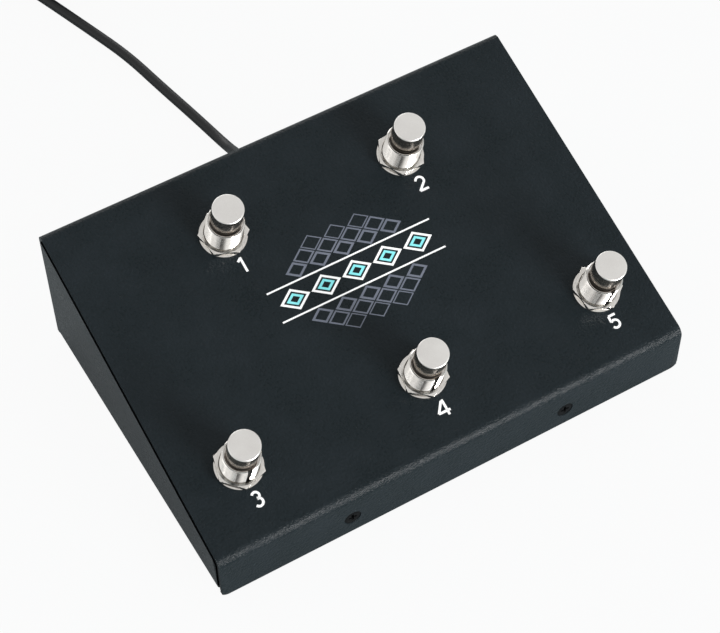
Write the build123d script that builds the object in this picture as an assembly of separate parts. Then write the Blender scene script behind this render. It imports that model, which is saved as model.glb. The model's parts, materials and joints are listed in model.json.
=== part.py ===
from build123d import *
import math
import os
import numpy as np

# A sloped foot controller: a folded sheet enclosure with five push switches in its top,
# a small circuit board inside and a USB cable that leaves the back and lies coiled behind.
# Lengths are millimetres. X runs across, Y from the front lip to the back, Z up from the floor.

# Enclosure, folded from sheet steel
width = 165.0
depth = 112.4
front_height = 18.7
rear_height = 52.2
sheet = 1.2
front_bend = 3.5
rear_bend = 2.4
corner_radius = 3.0
overrun = 1.0

# Base tray, which the cover closes
foot_height = 4.0
lip_clearance = 1.5
tray_bend = 2.0
side_gap_front = 0.5
side_gap_rear = 0.15
seam_gap = 0.4
tab_width = 18.0
tab_height = 10.0
tab_gap = 0.3

# Rubber feet
foot_radius = 6.35
foot_taper = 0.85
foot_edge = 0.6
foot_inset = 14.5

# Cover screws, countersunk, and the hexagon nuts pressed into the tabs
screw_radius = 1.5
screw_head_radius = 2.7
screw_sink = 0.15
screw_length = 8.0
screw_inset = 44.4
screw_height = 8.9
recess_width = 0.8
recess_span = 2.9
recess_depth = 0.9
thread_clearance = 0.05
head_clearance = 0.15
hole_clearance = 0.2
nut_across_flats = 5.5
nut_length = 2.4

# Places of the five switches on the slope
column_inset = 19.0
front_shift = 1.0
front_row_from_edge = 24.1
rear_row_from_edge = 25.6

# Switch bushing, washer and hexagon nut on the outside of the panel
bushing_radius = 6.0
bushing_height = 11.4
bushing_bore = 5.3
neck_radius = 5.6
neck_height = 0.6
keyway_width = 1.6
keyway_depth = 0.5
panel_hole_clearance = 0.15
washer_radius = 7.6
washer_thickness = 0.6
hex_across_flats = 14.0
hex_thickness = 2.0
hex_corner_cut = 0.35
lock_washer_radius = 7.5
lock_washer_thickness = 0.7
lock_tooth_count = 8
lock_tooth_width = 1.4
lock_tooth_depth = 0.6

# Switch body below the panel
body_side = 15.4
body_corner = 1.5
plate_thickness = 1.0
housing_height = 13.0
cavity_radius = 6.5
cavity_depth = 10.0
lug_width = 2.2
lug_thickness = 0.6
lug_offset = 5.2
lug_tail = 4.5
lug_slot_clearance = 0.05

# Push button: metal cap, plunger, contact ring and return spring
travel = 2.5
cap_radius = 5.0
cap_height = 7.0
cap_gap = 1.5
cap_edge = 0.5
cap_foot_edge = 0.25
cap_bore = 4.0
cap_bore_depth = 5.5
cap_spigot_clearance = 0.05
plunger_neck_radius = 4.5
guide_length = 7.2
guide_clearance = 0.08
flange_radius = 6.2
flange_thickness = 1.4
stop_gap = 0.3
stem_radius = 2.4
stem_length = 4.6
contact_inner_radius = 4.3
contact_outer_radius = 5.9
contact_thickness = 0.4
contact_gap = 0.3
spring_radius = 3.25
spring_wire = 0.6
spring_turns = 4
spring_sides = 4
spring_seat_gap = 0.05

# Circuit board and what stands on it
board_width = 60.0
board_depth = 38.0
board_thickness = 1.6
board_rear_y = 30.0
board_hole_inset = 4.0
standoff_across_flats = 5.0
standoff_height = 3.0
board_screw_radius = 1.25
board_screw_head_radius = 2.4
board_screw_head_height = 1.5
board_screw_length = 3.6
chip_width = 10.0
chip_depth = 10.0
chip_height = 2.2
chip_edge = 0.4
header_wall = 0.8
header_height = 5.6
usb_header_width = 14.0
usb_header_depth = 7.0
switch_header_width = 29.0
switch_header_depth = 6.0
usb_socket_plug_width = 11.6
usb_socket_plug_depth = 7.4
usb_socket_plug_height = 4.2
socket_clearance = 0.1
wire_radius = 0.6
wire_sides = 5
wire_pitch = 5.5
wire_pair_half = 1.2
wire_height = 3.0
wire_lead = 6.0
wire_front_reach = 7.0
wire_rear_reach = 12.0
wire_bend = 2.5
wire_lug_setback = 1.2

# Strain relief, which grips the cable in the back wall
relief_hole_radius = 4.0
relief_neck_clearance = 0.1
relief_flange_radius = 5.2
relief_flange_thickness = 2.0
relief_inner_radius = 4.8
relief_inner_thickness = 1.6
relief_boot_root = 3.8
relief_boot_tip = 2.5
relief_boot_length = 12.0

# USB cable and plug
cable_radius = 1.8
cable_share = 0.45
cable_sides = 8
coil_centre_x = -4.0
coil_centre_y = 226.0
coil_mean_radius = 22.1
coil_pitch = 4.2
coil_layer_height = 4.2
coil_layers = 4
coil_start_deg = 202.4
coil_end_deg = 90.0
coil_full_turns = 11
coil_lead_length = 3.6
cable_last_run = 17.0
tail_first_run = 14.0
plug_grip_length = 26.0
plug_grip_width = 15.6
plug_grip_height = 8.0
plug_grip_edge = 1.6
plug_relief_length = 8.0
plug_relief_root = 3.3
plug_shell_width = 12.0
plug_shell_height = 4.5
plug_shell_length = 18.7
plug_shell_wall = 0.35
plug_tongue_height = 1.9
plug_tongue_share = 0.94
plug_window = 2.4
plug_window_offset = 5.2
plug_window_spread = 2.3

# Slope frame
slope = math.atan2(rear_height - front_height, depth)
slope_deg = math.degrees(slope)
slope_length = math.hypot(depth, rear_height - front_height)
front_edge_z = lip_clearance + front_height
rear_edge_z = lip_clearance + rear_height
tray_floor_z = foot_height + sheet
board_floor_z = tray_floor_z + standoff_height
board_top_z = board_floor_z + board_thickness
board_front_y = board_rear_y - board_depth
exit_height = board_top_z + header_wall + usb_socket_plug_height / 2
front_row = front_row_from_edge
rear_row = slope_length - rear_row_from_edge
column_pitch = width / 2 - column_inset
screw_offset = width / 2 - screw_inset

# Depths below the outer face of the panel, along a switch's axis
plate_top = -(sheet + lock_washer_thickness)
plate_bottom = plate_top - plate_thickness
housing_bottom = plate_bottom - housing_height
cavity_floor = plate_bottom - cavity_depth
cap_bottom = bushing_height + cap_gap
cap_top = cap_bottom + cap_height
flange_top = plate_bottom - stop_gap
flange_bottom = flange_top - flange_thickness
contact_bottom = flange_bottom - contact_thickness
lug_top = contact_bottom - travel - contact_gap
lug_bottom = housing_bottom - lug_tail

# Each switch: name, column, row, and how its nut and its keyway were turned when it was fitted
switches = [
    ("rear_left", -column_pitch / 2, rear_row, 41.0, 90.0),
    ("rear_right", column_pitch / 2, rear_row, 4.0, 90.0),
    ("front_left", front_shift - column_pitch, front_row, 16.5, -92.0),
    ("front_center", front_shift, front_row, 24.5, -92.0),
    ("front_right", front_shift + column_pitch, front_row, 38.0, -92.0),
]

# The cable's route over the floor, a list of points chosen by hand along its middle
cable_route = [
    (0, 70.2, 12.7),
    (0, 84.0, 12.7),
    (2.4, 99.5, 1.8),
    (0.2, 116.5, 1.8),
    (-4.2, 134.5, 1.8),
    (-9.0, 152.5, 1.8),
    (-14.2, 171.0, 1.8),
]
tail_route = [
    (29.5, 249.5, 4.0),
    (41.0, 236.5, 4.0),
    (42.6, 221.5, 4.0),
]


def on_panel(x, along, height=0):
    """A frame on the panel's outer face: along is measured up the slope from its front edge."""
    y = -depth / 2 + along * math.cos(slope) - height * math.sin(slope)
    z = front_edge_z + along * math.sin(slope) + height * math.cos(slope)
    return Plane(origin=(x, y, z), x_dir=(1, 0, 0), z_dir=(0, -math.sin(slope), math.cos(slope)))


def turned(points):
    """A solid turned about Z from a closed outline of (radius, height) points."""
    outline = make_face(Polyline(*[(r, 0, z) for r, z in points], close=True))
    return revolve(outline, Axis.Z)


def slope_outline(inset, front_radius, rear_radius, bottom):
    """The side view of the sloped box, inset from its outer faces, as a closed face."""
    drop = inset / math.cos(slope)
    rise = inset * math.tan(slope)
    front_y, rear_y = -depth / 2 + inset, depth / 2 - inset
    front_z = front_edge_z + rise - drop
    rear_z = rear_edge_z - rise - drop
    corners = [(0, front_y, bottom), (0, front_y, front_z), (0, rear_y, rear_z), (0, rear_y, bottom)]
    path = FilletPolyline(*corners, radius=[front_radius, rear_radius])
    return make_face(path + Line(corners[-1], corners[0]))


def across(face, span):
    """Extrudes a side view over a span centred on X."""
    return extrude(face, amount=span / 2, both=True)


def tube(path, radius, sides):
    """A wire with a many-sided section, swept along a path."""
    start = Plane(origin=path @ 0, z_dir=path % 0)
    return sweep(start * RegularPolygon(radius, sides), path=path)


def corner_radii(points, share):
    """The largest arc at each inner point of a route that its two runs allow."""
    vectors = [Vector(*point) for point in points]
    radii = []
    for before, here, after in zip(vectors, vectors[1:], vectors[2:]):
        run_in, run_out = here - before, after - here
        half_turn = math.radians(run_in.get_angle(run_out)) / 2
        radii.append(share * min(run_in.length, run_out.length) / math.tan(half_turn))
    return radii


def routed(name, points):
    """A cable stretch along straight runs joined by tangent arcs, with its sizes printed."""
    radii = corner_radii(points, cable_share)
    path = FilletPolyline(*points, radius=radii)
    solid = tube(path, cable_radius, cable_sides)
    expected = RegularPolygon(cable_radius, cable_sides).area * path.length
    print(name, "length", round(path.length, 1), "radii", [round(r, 1) for r in radii],
          "volume share", round(solid.volume / expected, 4))
    return solid, path


def make_top_cover():
    """Front lip, slope and back wall folded from one sheet, with every hole cut."""
    outer = slope_outline(0, front_bend, rear_bend, lip_clearance)
    inner = slope_outline(sheet, front_bend - sheet, rear_bend - sheet, lip_clearance - overrun)
    cover = across(outer, width) - across(inner, width + overrun)
    bottom_corners = cover.edges().filter_by(Axis.Y).group_by(Axis.Z)[0]
    cover = fillet(bottom_corners, corner_radius)
    hole = Cylinder(bushing_radius + panel_hole_clearance, 2 * (sheet + overrun))
    for _, x, along, _, _ in switches:
        cover -= on_panel(x, along) * hole
    cover -= screw_places(countersink())
    cable_hole = Cylinder(relief_hole_radius, 2 * (sheet + overrun))
    cover -= Plane(origin=(0, depth / 2, exit_height), z_dir=(0, 1, 0)) * cable_hole
    return cover


def screw_columns(side):
    """Where the cover screws stand across the lip (side -1) or the back wall (side 1)."""
    middle = front_shift if side < 0 else 0
    return middle - screw_offset, middle + screw_offset


def screw_frames(side):
    """Frames on the outer face of the lip (side -1) or the back wall (side 1), facing outwards."""
    for x in screw_columns(side):
        yield Plane(origin=(x, side * depth / 2, screw_height), x_dir=(1, 0, 0), z_dir=(0, side, 0))


def screw_places(shape):
    """A copy of a shape at each of the four cover screws."""
    return Compound([frame * shape for side in (-1, 1) for frame in screw_frames(side)])


def countersink():
    """The hole for a cover screw: a cone from the face, then a clearance hole."""
    mouth = screw_head_radius + head_clearance
    shank = screw_radius + hole_clearance
    cone_end = -(screw_sink + mouth - shank)
    return turned([(0, overrun), (mouth, overrun), (mouth, -screw_sink), (shank, cone_end),
                   (shank, -sheet - overrun), (0, -sheet - overrun)])


def make_cover_screw():
    """A countersunk screw with a cross recess, its head just below the face."""
    cone = screw_head_radius - screw_radius
    top = -screw_sink
    screw = turned([(0, top), (screw_head_radius, top), (screw_radius, top - cone),
                    (screw_radius, top - screw_length + screw_radius / 2),
                    (screw_radius / 2, top - screw_length), (0, top - screw_length)])
    bar = Box(recess_span, recess_width, 2 * recess_depth)
    cross = bar + Rot(0, 0, 90) * bar
    return screw - Pos(0, 0, top) * cross


def cover_screws(side):
    screw = make_cover_screw()
    return Compound([frame * screw for frame in screw_frames(side)])


def tab_face_depth():
    """How far the tabs' outer faces stand behind the enclosure's outer faces."""
    return sheet + tab_gap


def make_base_chassis():
    """Floor and two side walls bent up from one sheet, trimmed to the slope, with four tabs."""
    top = rear_edge_z
    half = width / 2
    outer_corners = [(-half, 0, top), (-half, 0, foot_height), (half, 0, foot_height), (half, 0, top)]
    inner_half = half - sheet
    inner_corners = [(-inner_half, 0, top), (-inner_half, 0, tray_floor_z),
                     (inner_half, 0, tray_floor_z), (inner_half, 0, top)]
    outer = FilletPolyline(*outer_corners, radius=tray_bend)
    inner = FilletPolyline(*inner_corners, radius=tray_bend - sheet)
    rim = Line(outer_corners[0], inner_corners[0]) + Line(outer_corners[-1], inner_corners[-1])
    front_y = -depth / 2 + sheet + side_gap_front
    rear_y = depth / 2 - sheet - side_gap_rear
    tray = extrude(make_face(outer + inner + rim), amount=depth, both=True)
    inset = sheet + seam_gap
    side_view = across(slope_outline(inset, front_bend - inset, rear_bend / 3, 0), width + overrun)
    cutter = Pos(0, (front_y + rear_y) / 2, top / 2) * Box(width + overrun, rear_y - front_y, top)
    tray = tray & side_view & cutter
    for side in (-1, 1):
        for x in screw_columns(side):
            tray += Pos(x, 0, 0) * tab(side)
    holes = Cylinder(screw_radius + hole_clearance, 2 * (tab_face_depth() + sheet + overrun))
    return tray - screw_places(holes)


def tab(side):
    """A tab bent up from the floor's front or back edge to take a cover screw."""
    face_y = side * (depth / 2 - tab_face_depth())
    root_y = face_y - side * (2 * tray_bend)
    low, high = foot_height, tray_floor_z + tab_height
    outer = FilletPolyline((0, root_y, low), (0, face_y, low), (0, face_y, high), radius=tray_bend)
    inner = FilletPolyline((0, root_y, low + sheet), (0, face_y - side * sheet, low + sheet),
                           (0, face_y - side * sheet, high), radius=tray_bend - sheet)
    ends = Line((0, root_y, low), (0, root_y, low + sheet))
    ends += Line((0, face_y, high), (0, face_y - side * sheet, high))
    return across(make_face(outer + inner + ends), tab_width)


def hexagon(across_flats, bore, length):
    """A plain hexagon bar of this length with a hole through it, standing on z = 0."""
    bar = extrude(RegularPolygon(across_flats / math.sqrt(3), 6), amount=length)
    return bar - Cylinder(bore, 2 * length + overrun)


def make_clinch_nuts():
    """Hexagon nuts pressed into the tabs behind the four cover screws."""
    nut = hexagon(nut_across_flats, screw_radius + thread_clearance, nut_length)
    return screw_places(Pos(0, 0, -(tab_face_depth() + sheet + nut_length)) * nut)


def make_foot(x_side, y_side):
    """A tapered rubber foot stuck under a corner of the floor."""
    base = foot_radius - foot_taper
    foot = turned([(0, 0), (base - foot_edge, 0), (base, foot_edge), (foot_radius, foot_height),
                   (0, foot_height)])
    return Pos(x_side * (width / 2 - foot_inset), y_side * (depth / 2 - foot_inset), 0) * foot


def make_bushing(keyway_deg):
    """Threaded bushing with its neck, keyway and square plate."""
    shoulder = bushing_height - neck_height
    chamfer_start = shoulder - (bushing_radius - neck_radius)
    barrel = turned([(bushing_bore, plate_top), (bushing_radius, plate_top),
                     (bushing_radius, chamfer_start), (neck_radius, shoulder),
                     (neck_radius, bushing_height), (bushing_bore, bushing_height)])
    key_length = bushing_height - plate_top
    key = Pos(bushing_radius, 0, plate_top + key_length / 2) * Box(
        2 * keyway_depth, keyway_width, key_length)
    barrel -= Rot(0, 0, keyway_deg) * key
    plate = extrude(RectangleRounded(body_side, body_side, body_corner), amount=plate_thickness)
    plate -= Cylinder(bushing_bore, 2 * plate_thickness + overrun)
    return barrel + Pos(0, 0, plate_bottom) * plate


def make_washer():
    bore = bushing_radius + panel_hole_clearance
    return turned([(bore, 0), (washer_radius, 0), (washer_radius, washer_thickness),
                   (bore, washer_thickness)])


def make_hex_nut(turn_deg):
    """Thin hexagon nut with its corners cut back at the top."""
    corner_radius_hex = hex_across_flats / math.sqrt(3)
    blank = extrude(RegularPolygon(corner_radius_hex, 6), amount=hex_thickness)
    crown = turned([(0, 0), (corner_radius_hex, 0), (corner_radius_hex, hex_thickness - hex_corner_cut),
                    (hex_across_flats / 2, hex_thickness), (0, hex_thickness)])
    bore = Cylinder(bushing_radius + thread_clearance, 2 * hex_thickness + overrun)
    return Rot(0, 0, turn_deg) * ((blank & crown) - bore)


def make_lock_washer():
    """Inside washer with teeth around its bore."""
    bore = bushing_radius + panel_hole_clearance
    ring = turned([(bore, 0), (lock_washer_radius, 0), (lock_washer_radius, lock_washer_thickness),
                   (bore, lock_washer_thickness)])
    notch = Pos(bore, 0, lock_washer_thickness / 2) * Box(
        2 * lock_tooth_depth, lock_tooth_width, lock_washer_thickness + overrun)
    for tooth in range(lock_tooth_count):
        ring -= Rot(0, 0, 360 / lock_tooth_count * tooth) * notch
    return ring


def make_housing():
    """Square switch body with a round well for the plunger and two slots for the lugs."""
    block = extrude(RectangleRounded(body_side, body_side, body_corner), amount=housing_height)
    block = Pos(0, 0, housing_bottom) * block
    well_middle = plate_bottom - cavity_depth / 2
    block -= Pos(0, 0, well_middle) * Cylinder(cavity_radius, cavity_depth)
    slot = Box(lug_thickness + 2 * lug_slot_clearance, lug_width + 2 * lug_slot_clearance,
               2 * housing_height)
    for side in (-1, 1):
        block -= Pos(side * lug_offset, 0, housing_bottom) * slot
    return block


def make_lugs():
    """Two contact blades that come out of the body as solder lugs."""
    length = lug_top - lug_bottom
    blade = Box(lug_thickness, lug_width, length)
    middle = (lug_top + lug_bottom) / 2
    return [Pos(side * lug_offset, 0, middle) * blade for side in (-1, 1)]


def make_cap():
    """Flat-topped metal cap with a bevelled rim, hollow to fit the plunger."""
    bore_top = cap_bottom + cap_bore_depth
    return turned([(cap_bore, cap_bottom), (cap_radius - cap_foot_edge, cap_bottom),
                   (cap_radius, cap_bottom + cap_foot_edge), (cap_radius, cap_top - cap_edge),
                   (cap_radius - cap_edge, cap_top), (0, cap_top), (0, bore_top),
                   (cap_bore, bore_top)])


def make_plunger():
    """Plunger that carries the cap, slides in the bushing and is held in by its flange."""
    spigot = cap_bore - cap_spigot_clearance
    guide = bushing_bore - guide_clearance
    guide_top = flange_top + guide_length
    spigot_top = cap_bottom + cap_bore_depth - spigot_end_gap()
    return turned([(0, flange_bottom - stem_length), (stem_radius, flange_bottom - stem_length),
                   (stem_radius, flange_bottom), (flange_radius, flange_bottom),
                   (flange_radius, flange_top), (guide, flange_top), (guide, guide_top),
                   (plunger_neck_radius, guide_top), (plunger_neck_radius, cap_bottom),
                   (spigot, cap_bottom), (spigot, spigot_top), (0, spigot_top)])


def spigot_end_gap():
    return 2 * cap_spigot_clearance


def make_contact_ring():
    """Brass ring under the plunger's flange that bridges the two blades."""
    return turned([(contact_inner_radius, contact_bottom), (contact_outer_radius, contact_bottom),
                   (contact_outer_radius, flange_bottom), (contact_inner_radius, flange_bottom)])


def make_return_spring():
    """Compression spring between the well's floor and the plunger's flange."""
    low = cavity_floor + spring_wire / 2 + spring_seat_gap
    high = flange_bottom - spring_wire / 2 - spring_seat_gap
    pitch = (high - low) / spring_turns

    def point(turn):
        angle = math.tau * turn
        return Vector(spring_radius * math.cos(angle), spring_radius * math.sin(angle), low + pitch * turn)

    def direction(turn):
        angle = math.tau * turn
        around = math.tau * spring_radius
        return Vector(-around * math.sin(angle), around * math.cos(angle), pitch).normalized()

    edges = []
    for half in range(2 * spring_turns):
        start, end = half / 2, (half + 1) / 2
        edges += biarc(point(start), direction(start), point(end), direction(end))
    path = Wire(edges)
    print("spring gap between turns", round(least_gap(path, spring_wire / 2), 2))
    return tube(path, spring_wire / 2, spring_sides)


def biarc(start, start_tangent, end, end_tangent):
    """Two arcs that join two points with the given directions."""
    chord = end - start
    both = start_tangent + end_tangent
    closeness = 2 * (1 - start_tangent.dot(end_tangent))
    along = chord.dot(both)
    reach = (math.sqrt(along**2 + closeness * chord.dot(chord)) - along) / closeness
    middle = (start + end + (start_tangent - end_tangent) * reach) * 0.5
    first = Edge.make_tangent_arc(start, start_tangent, middle)
    second = Edge.make_tangent_arc(end, end_tangent * -1, middle)
    return [first, second]


def least_gap(path, radius):
    """The smallest space between a tube's turns, from points along its middle line."""
    spacing = radius / 4
    count = math.ceil(path.length / spacing)
    points = np.array([tuple(path @ (i / count)) for i in range(count + 1)])
    skip = math.ceil(math.tau * radius / spacing)
    apart = [np.linalg.norm(points[i + skip:] - points[i], axis=1).min() for i in range(count - skip)]
    return min(apart) - 2 * radius


def make_circuit_board():
    board = Pos(0, board_rear_y - board_depth / 2, board_floor_z) * extrude(
        Rectangle(board_width, board_depth), amount=board_thickness)
    hole = Cylinder(board_screw_radius + hole_clearance, 2 * board_thickness + overrun)
    for x, y in board_holes():
        board -= Pos(x, y, board_floor_z) * hole
    return board


def board_holes():
    x = board_width / 2 - board_hole_inset
    for y in (board_rear_y - board_hole_inset, board_front_y + board_hole_inset):
        yield -x, y
        yield x, y


def make_standoffs():
    """Hexagon pillars clinched into the floor under the board's four holes."""
    pillar = hexagon(standoff_across_flats, board_screw_radius + thread_clearance, standoff_height)
    return Compound([Pos(x, y, tray_floor_z) * pillar for x, y in board_holes()])


def make_board_screws():
    """Cheese-head screws down through the board."""
    screw = turned([(0, -board_screw_length), (board_screw_radius, -board_screw_length),
                    (board_screw_radius, 0), (board_screw_head_radius, 0),
                    (board_screw_head_radius, board_screw_head_height), (0, board_screw_head_height)])
    return Compound([Pos(x, y, board_top_z) * screw for x, y in board_holes()])


def make_controller_chip():
    blank = Box(chip_width, chip_depth, chip_height, align=(Align.CENTER, Align.CENTER, Align.MIN))
    blank = chamfer(blank.edges().group_by(Axis.Z)[-1], chip_edge)
    return Pos(0, board_rear_y - board_depth / 2 - chip_depth / 6, board_top_z) * blank


def make_usb_header():
    """Open-mouthed header at the board's back edge for the cable's plug."""
    low = Align.CENTER, Align.CENTER, Align.MIN
    block = Box(usb_header_width, usb_header_depth, header_height, align=low)
    mouth = Pos(0, header_wall, header_wall - socket_clearance) * Box(
        usb_socket_plug_width + 2 * socket_clearance, usb_header_depth,
        usb_socket_plug_height + 2 * socket_clearance, align=low)
    return Pos(0, board_rear_y - usb_header_depth / 2, board_top_z) * (block - mouth)


def make_usb_header_plug():
    """The cable's inner plug, seated in the header."""
    block = Box(usb_socket_plug_width, usb_socket_plug_depth, usb_socket_plug_height)
    block = fillet(block.edges().filter_by(Axis.Y), header_wall / 2)
    return Pos(0, usb_plug_rear_y() - usb_socket_plug_depth / 2, exit_height) * block


def usb_plug_rear_y():
    depth_in_header = usb_header_depth - header_wall - socket_clearance
    return board_rear_y - depth_in_header + usb_socket_plug_depth


def make_switch_header():
    """Ten-way wire housing along the board's front edge."""
    low = Align.CENTER, Align.MIN, Align.MIN
    block = Box(switch_header_width, switch_header_depth, header_height, align=low)
    block = chamfer(block.edges().group_by(Axis.Z)[-1], header_wall / 2)
    return Pos(0, board_front_y, board_top_z) * block


def wire_paths():
    """Two wires from each switch's lugs to its place in the header on the board."""
    order = {"front_left": -2, "rear_left": -1, "front_center": 0, "rear_right": 1, "front_right": 2}
    down = lug_bottom + wire_lug_setback
    for name, x, along, _, _ in switches:
        towards = 1 if along == front_row else -1
        for side in (-1, 1):
            frame = on_panel(x + side * lug_offset, along + towards * lug_width / 2, down)
            start = frame.origin
            leave = frame.y_dir * towards
            first = start + leave * wire_lead
            column = order[name] * wire_pitch + side * wire_pair_half
            face = board_front_y + (0 if towards == 1 else switch_header_depth)
            reach = wire_front_reach if towards == 1 else wire_rear_reach
            level = board_top_z + wire_height
            end = Vector(column, face, level)
            yield [start, first, Vector(column, face - towards * reach, level), end]


def make_switch_wires():
    wires = []
    for points in wire_paths():
        radii = [min(wire_bend, r) for r in corner_radii([tuple(p) for p in points], cable_share)]
        wires.append(tube(FilletPolyline(*points, radius=radii), wire_radius, wire_sides))
    return Compound(wires)


def make_strain_relief():
    """Moulded relief: a flange each side of the back wall and a tapered boot outside."""
    neck = relief_hole_radius - relief_neck_clearance
    inside = -(sheet + relief_inner_thickness)
    outline = [(0, inside), (relief_inner_radius, inside), (relief_inner_radius, -sheet),
               (neck, -sheet), (neck, 0), (relief_flange_radius, 0),
               (relief_flange_radius, relief_flange_thickness), (relief_boot_root, relief_flange_thickness),
               (relief_boot_tip, relief_flange_thickness + relief_boot_length),
               (0, relief_flange_thickness + relief_boot_length)]
    return Plane(origin=(0, depth / 2, exit_height), z_dir=(0, 1, 0)) * turned(outline)


def make_inner_cable():
    """The straight length of cable between the strain relief and its plug on the board."""
    rear = (0, depth / 2 - sheet - relief_inner_thickness, exit_height)
    front = (0, usb_plug_rear_y(), exit_height)
    return tube(Line(rear, front), cable_radius, cable_sides)


def coil_turns():
    return coil_full_turns + (coil_start_deg - coil_end_deg) / 360


def coil_point(turn):
    """The coil's middle line: radius in and out at a steady rate, a climb where it reverses."""
    per_layer = coil_turns() / coil_layers
    outer = coil_mean_radius + coil_pitch * per_layer / 2
    phase = turn % (2 * per_layer)
    radius = outer - coil_pitch * (per_layer - abs(per_layer - phase))
    layer = 0
    for reversal in range(1, coil_layers):
        layer += min(max((turn - reversal * per_layer) * 2 + 0.5, 0), 1)
    angle = math.radians(coil_start_deg - 360 * turn)
    return Vector(coil_centre_x + radius * math.cos(angle), coil_centre_y + radius * math.sin(angle),
                  cable_radius + coil_layer_height * layer)


def coil_stations():
    """Turn counts every quarter turn, with the start and end of each climb among them."""
    per_layer = coil_turns() / coil_layers
    marks = [0, coil_turns()]
    for reversal in range(1, coil_layers):
        marks += [reversal * per_layer - 0.25, reversal * per_layer, reversal * per_layer + 0.25]
    marks.sort()
    stations = [0]
    for low, high in zip(marks, marks[1:]):
        steps = max(1, math.ceil((high - low) * 2 - 1e-6))
        stations += [low + (high - low) * (step + 1) / steps for step in range(steps)]
    return stations


def coil_tangent(turn, side):
    """The middle line's direction, level at every station but those inside a climb."""
    step = side * 1e-3
    direction = (coil_point(turn + step) - coil_point(turn)) * (1 / step)
    per_layer = coil_turns() / coil_layers
    climbing = any(abs(turn - r * per_layer) < 0.2 for r in range(1, coil_layers))
    if not climbing:
        direction = Vector(direction.X, direction.Y, 0)
    return direction.normalized()


def make_coil():
    """The put-away length, wound in four layers as one unbroken tube."""
    stations = coil_stations()
    edges = []
    for low, high in zip(stations, stations[1:]):
        edges += biarc(coil_point(low), coil_tangent(low, 1 if low == 0 else -1),
                       coil_point(high), coil_tangent(high, -1))
    edges.insert(0, Edge.make_line(coil_entry(coil_lead_length), coil_point(0)))
    end = coil_point(coil_turns())
    edges.append(Edge.make_line(end, coil_exit(coil_lead_length)))
    path = Wire(edges)
    solid = tube(path, cable_radius, cable_sides)
    print("coil turns", round(coil_turns(), 2), "length", round(path.length, 1),
          "least gap to itself", round(least_gap(path, cable_radius), 2))
    return solid, path


def coil_entry(before):
    """A point on the straight line into the coil, so far before its first turn."""
    return coil_point(0) - coil_tangent(0, 1) * before


def coil_exit(after):
    """A point on the straight line out of the coil, so far after its last turn."""
    return coil_point(coil_turns()) + coil_tangent(coil_turns(), -1) * after


def plug_frame(path):
    """A frame at the tail's end, with Z along the plug and X level."""
    along = path % 1
    return Plane(origin=path @ 1, x_dir=(-along.Y, along.X, 0), z_dir=along)


def make_plug_grip():
    """Moulded grip of the plug with a short tapered relief."""
    relief = turned([(0, 0), (cable_radius + overrun / 2, 0), (plug_relief_root, plug_relief_length),
                     (0, plug_relief_length)])
    grip = extrude(RectangleRounded(plug_grip_width, plug_grip_height, plug_grip_edge),
                   amount=plug_grip_length)
    grip = chamfer(grip.faces().sort_by(Axis.Z)[0].edges(), plug_grip_edge / 2)
    grip = chamfer(grip.faces().sort_by(Axis.Z)[-1].edges(), plug_grip_edge / 4)
    return relief + Pos(0, 0, plug_relief_length) * grip


def plug_mouth_start():
    return plug_relief_length + plug_grip_length


def make_plug_shell():
    """Folded metal shell with its two latch windows on each flat."""
    shell = extrude(RectangleRounded(plug_shell_width, plug_shell_height, 2 * plug_shell_wall),
                    amount=plug_shell_length)
    hollow = extrude(RectangleRounded(plug_shell_width - 2 * plug_shell_wall,
                                      plug_shell_height - 2 * plug_shell_wall, plug_shell_wall),
                     amount=plug_shell_length + overrun)
    shell -= hollow
    window = Box(plug_window, plug_shell_height + overrun, plug_window)
    for side in (-1, 1):
        shell -= Pos(side * plug_window_spread, 0, plug_window_offset) * window
    return Pos(0, 0, plug_mouth_start()) * shell


def make_plug_tongue():
    """Plastic tongue that carries the contacts, filling one half of the shell."""
    inner_width = plug_shell_width - 2 * plug_shell_wall
    inner_height = plug_shell_height - 2 * plug_shell_wall
    tongue = Box(inner_width - 2 * socket_clearance, plug_tongue_height,
                 plug_shell_length * plug_tongue_share, align=(Align.CENTER, Align.MAX, Align.MIN))
    return Pos(0, inner_height / 2 - socket_clearance, plug_mouth_start()) * tongue


parts = {
    "top_cover": make_top_cover(),
    "base_chassis": make_base_chassis(),
    "foot_front_left": make_foot(-1, -1),
    "foot_front_right": make_foot(1, -1),
    "foot_rear_left": make_foot(-1, 1),
    "foot_rear_right": make_foot(1, 1),
    "front_cover_screws": cover_screws(-1),
    "rear_cover_screws": cover_screws(1),
    "clinch_nuts": make_clinch_nuts(),
    "board_standoffs": make_standoffs(),
    "circuit_board": make_circuit_board(),
    "board_screws": make_board_screws(),
    "controller_chip": make_controller_chip(),
    "usb_header": make_usb_header(),
    "usb_header_plug": make_usb_header_plug(),
    "switch_header": make_switch_header(),
    "switch_wires": make_switch_wires(),
    "inner_cable": make_inner_cable(),
    "strain_relief": make_strain_relief(),
}

washer, lock_washer, housing, lugs = make_washer(), make_lock_washer(), make_housing(), make_lugs()
cap, plunger, contact_ring, spring = make_cap(), make_plunger(), make_contact_ring(), make_return_spring()
washers, nuts, lock_washers, all_lugs = [], [], [], []
for name, x, along, nut_deg, keyway_deg in switches:
    seat = on_panel(x, along).location
    parts["bushing_" + name] = seat * make_bushing(keyway_deg)
    parts["housing_" + name] = seat * housing
    parts["cap_" + name] = seat * cap
    parts["plunger_" + name] = seat * plunger
    parts["contact_ring_" + name] = seat * contact_ring
    parts["return_spring_" + name] = seat * spring
    washers.append(seat * washer)
    nuts.append(on_panel(x, along, washer_thickness).location * make_hex_nut(nut_deg))
    lock_washers.append(on_panel(x, along, plate_top).location * lock_washer)
    all_lugs += [seat * lug for lug in lugs]
parts["panel_washers"] = Compound(washers)
parts["panel_nuts"] = Compound(nuts)
parts["lock_washers"] = Compound(lock_washers)
parts["solder_lugs"] = Compound(all_lugs)

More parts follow.
